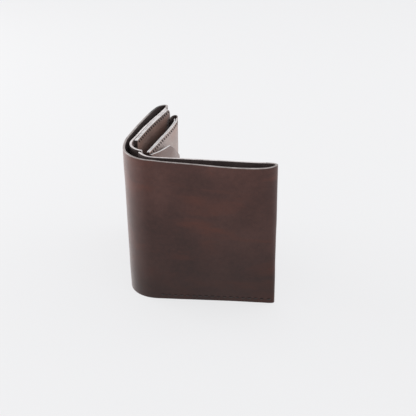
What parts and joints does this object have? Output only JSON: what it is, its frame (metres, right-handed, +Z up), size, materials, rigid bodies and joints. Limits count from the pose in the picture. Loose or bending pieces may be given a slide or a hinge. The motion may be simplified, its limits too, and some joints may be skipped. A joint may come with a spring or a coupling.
{
  "type": "trifold wallet",
  "caption": "Leather trifold wallet standing half open on its lower edge, with folded-back bill compartments, layered card pockets and an inner leaf with a slanted pocket.",
  "frame": {"origin": "middle of the bounding box, on the floor the wallet stands on", "axes": "+Z up along the fold lines; +X along the front leaf, from the spine towards its free end; +Y from the front leaf's outer face towards the inside of the wallet"},
  "size_m": [0.104, 0.1256, 0.1025],
  "materials": {
    "cover_leather": "smooth dark brown leather with lighter cut edges",
    "lining_leather": "smooth brown leather, slightly lighter, cut edges raw",
    "flap_leather": "smooth brown leather, raw cut edges",
    "thread": "dark brown waxed thread"
  },
  "bodies": {
    "back_leaf": {"back_cover": "cover_leather", "spine_cover": "cover_leather", "lining_tongue": "lining_leather", "card_backing": "lining_leather", "card_pocket": "lining_leather", "flap_fold_strip": "flap_leather", "stitch_back_hem": "thread", "stitch_card_top": "thread", "stitch_card_low": "thread"},
    "front_leaf": {"front_cover": "cover_leather", "stitch_front_hem": "thread", "stitch_front_lining": "thread"},
    "inner_leaf": {"flap_back": "flap_leather", "flap_front": "flap_leather", "pocket_leaf": "flap_leather", "stitch_flap_top": "thread", "stitch_pocket_low": "thread", "stitch_pocket_side": "thread"}
  },
  "joints": [
    {"name": "spine_fold", "type": "hinge", "parent": "back_leaf", "child": "front_leaf", "pos_m": [-0.03944, -0.0368, 0.05125], "axis": [0, 0, 1], "range_deg": [-97, 82], "deforming": ["spine_cover", "lining_tongue"]},
    {"name": "flap_fold", "type": "hinge", "parent": "back_leaf", "child": "inner_leaf", "pos_m": [-0.02841, 0.05961, 0.05125], "axis": [0, 0, 1], "range_deg": [0, 175], "deforming": ["flap_fold_strip"]}
  ]
}
